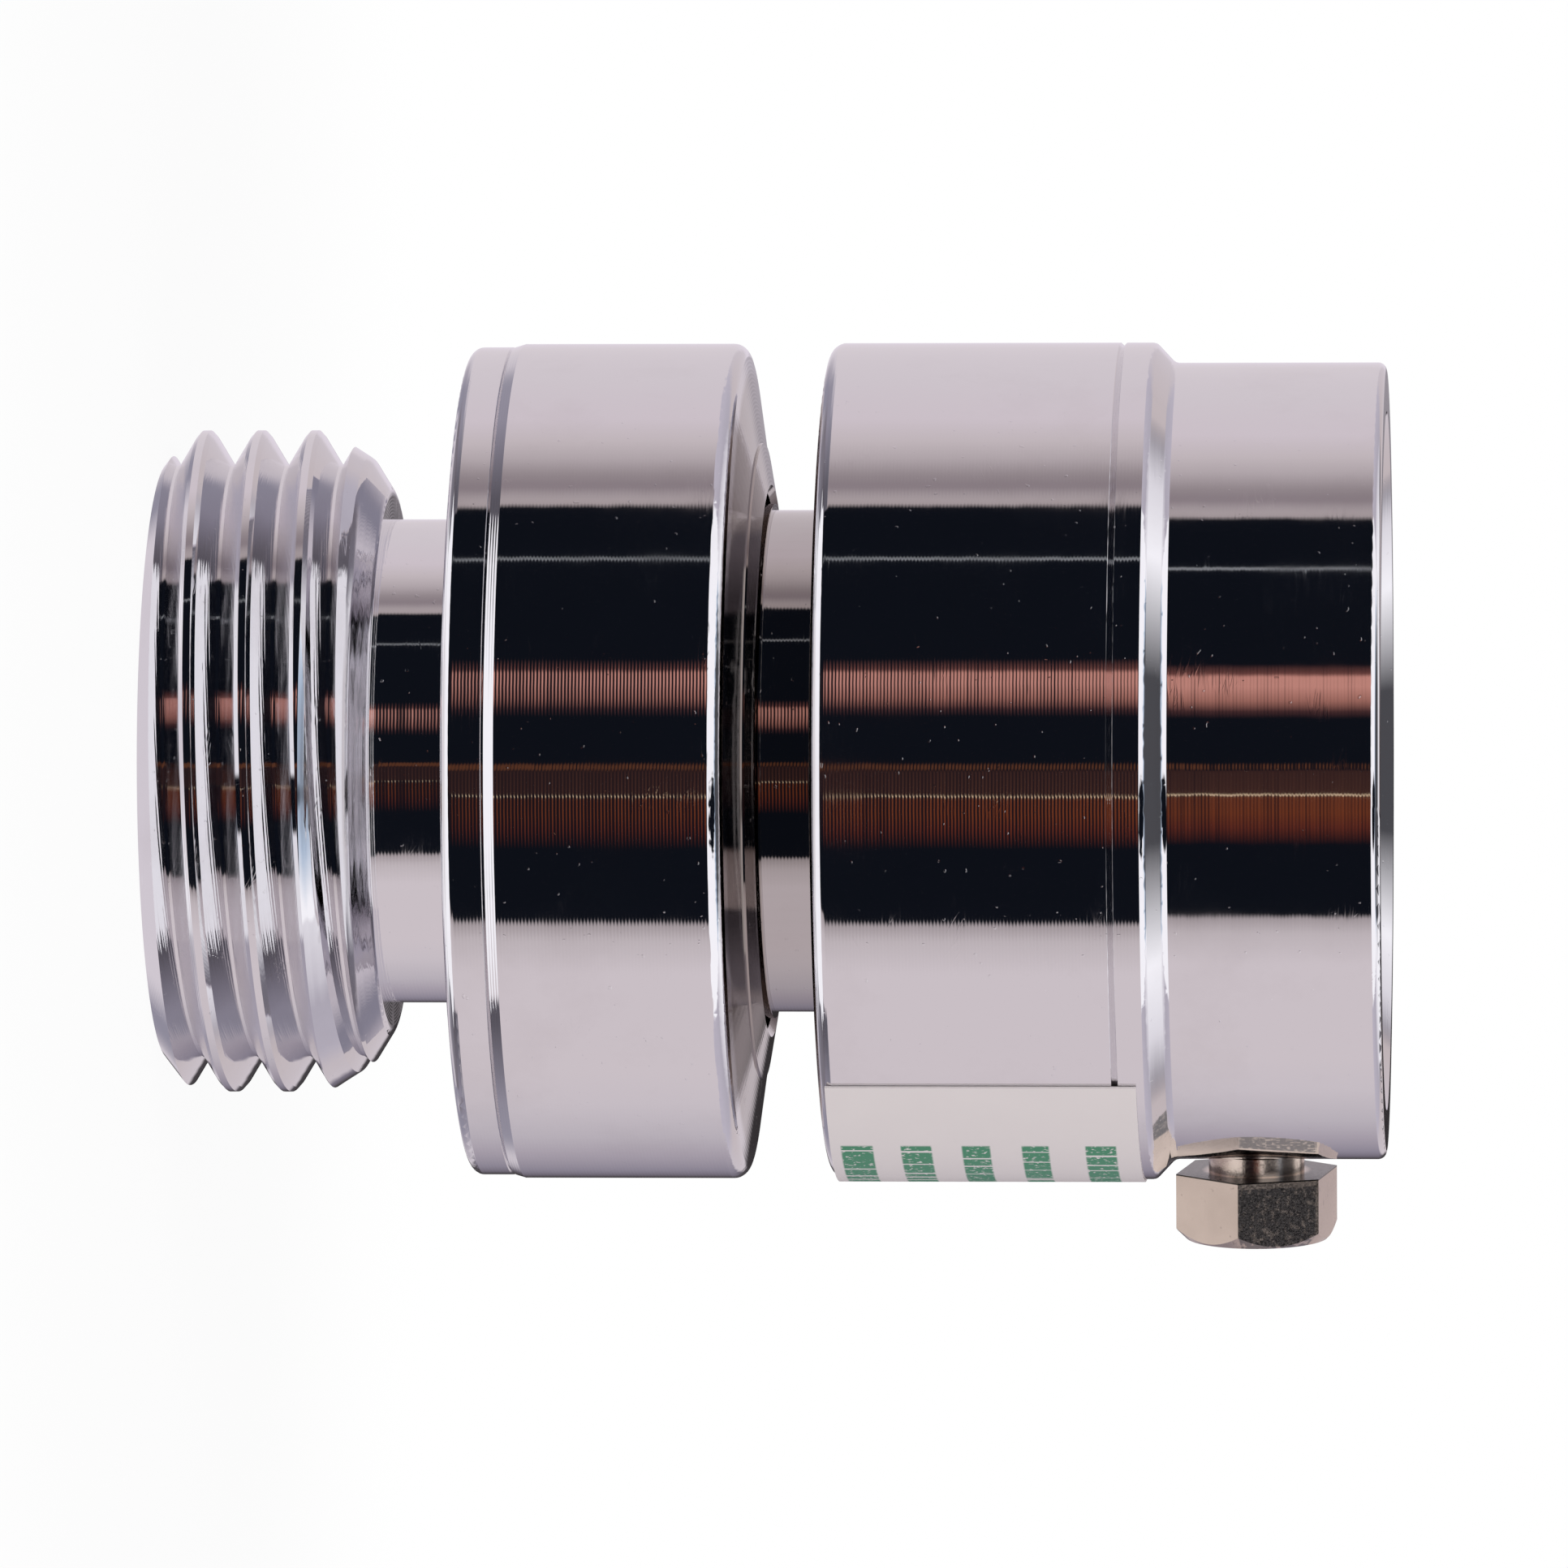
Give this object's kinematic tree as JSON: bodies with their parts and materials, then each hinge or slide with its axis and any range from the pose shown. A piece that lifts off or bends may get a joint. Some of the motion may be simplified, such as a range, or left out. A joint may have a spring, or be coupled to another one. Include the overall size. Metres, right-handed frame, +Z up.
{
  "type": "hose bib vacuum breaker",
  "caption": "Chrome-plated brass hose vacuum breaker: threaded inlet collar with break-off set screw, two round housings with a vent gap between, and a male hose thread outlet.",
  "frame": {"origin": "centre of the flat end face of the outlet thread, which is the lowest point as the breaker hangs under a tap", "axes": "+Z runs up the axis from the outlet thread to the inlet socket; +X points out through the set screw"},
  "size_m": [0.0365, 0.0338, 0.0495],
  "materials": {
    "chrome_plate": "bright chrome plate over turned brass with fine lathe lines",
    "nickel_screw": "satin nickel over brass",
    "black_rubber": "moulded black rubber",
    "plain_brass": "turned brass, unplated",
    "white_acetal": "moulded white acetal",
    "stainless": "bright stainless steel",
    "white_sticker": "white vinyl sticker with green print bars"
  },
  "bodies": {
    "housing": {"inlet_collar": "chrome_plate", "valve_body": "chrome_plate", "skirt": "chrome_plate", "outlet_fitting": "chrome_plate", "hose_washer": "black_rubber", "body_o_ring": "black_rubber", "vent_diaphragm": "black_rubber", "plate_gasket": "black_rubber", "vent_plate": "plain_brass", "outlet_seat": "plain_brass", "inlet_guide": "white_acetal", "outlet_guide": "white_acetal", "inlet_spring": "stainless", "outlet_spring": "stainless", "snap_ring": "stainless", "sticker": "white_sticker"},
    "inlet_check": {"inlet_poppet": "white_acetal", "inlet_seal": "black_rubber", "inlet_seal_plate": "stainless", "inlet_seal_screw": "stainless"},
    "outlet_check": {"outlet_poppet": "white_acetal", "outlet_seal": "black_rubber", "outlet_seal_plate": "stainless", "outlet_seal_screw": "stainless"},
    "lock_screw": {"set_screw": "nickel_screw"}
  },
  "joints": [
    {"name": "inlet_check_open", "type": "slide", "parent": "housing", "child": "inlet_check", "axis": [0, 0, -1], "range_m": [0, 0.0025], "stiffness_N_per_m": 150, "springref_m": -0.005, "deforming": ["inlet_spring"]},
    {"name": "outlet_check_open", "type": "slide", "parent": "housing", "child": "outlet_check", "axis": [0, 0, -1], "range_m": [0, 0.002], "stiffness_N_per_m": 150, "springref_m": -0.005, "deforming": ["outlet_spring", "vent_diaphragm"]},
    {"name": "set_screw_advance", "type": "slide", "parent": "housing", "child": "lock_screw", "axis": [-1, 0, 0], "range_m": [0, 0.0006]}
  ]
}
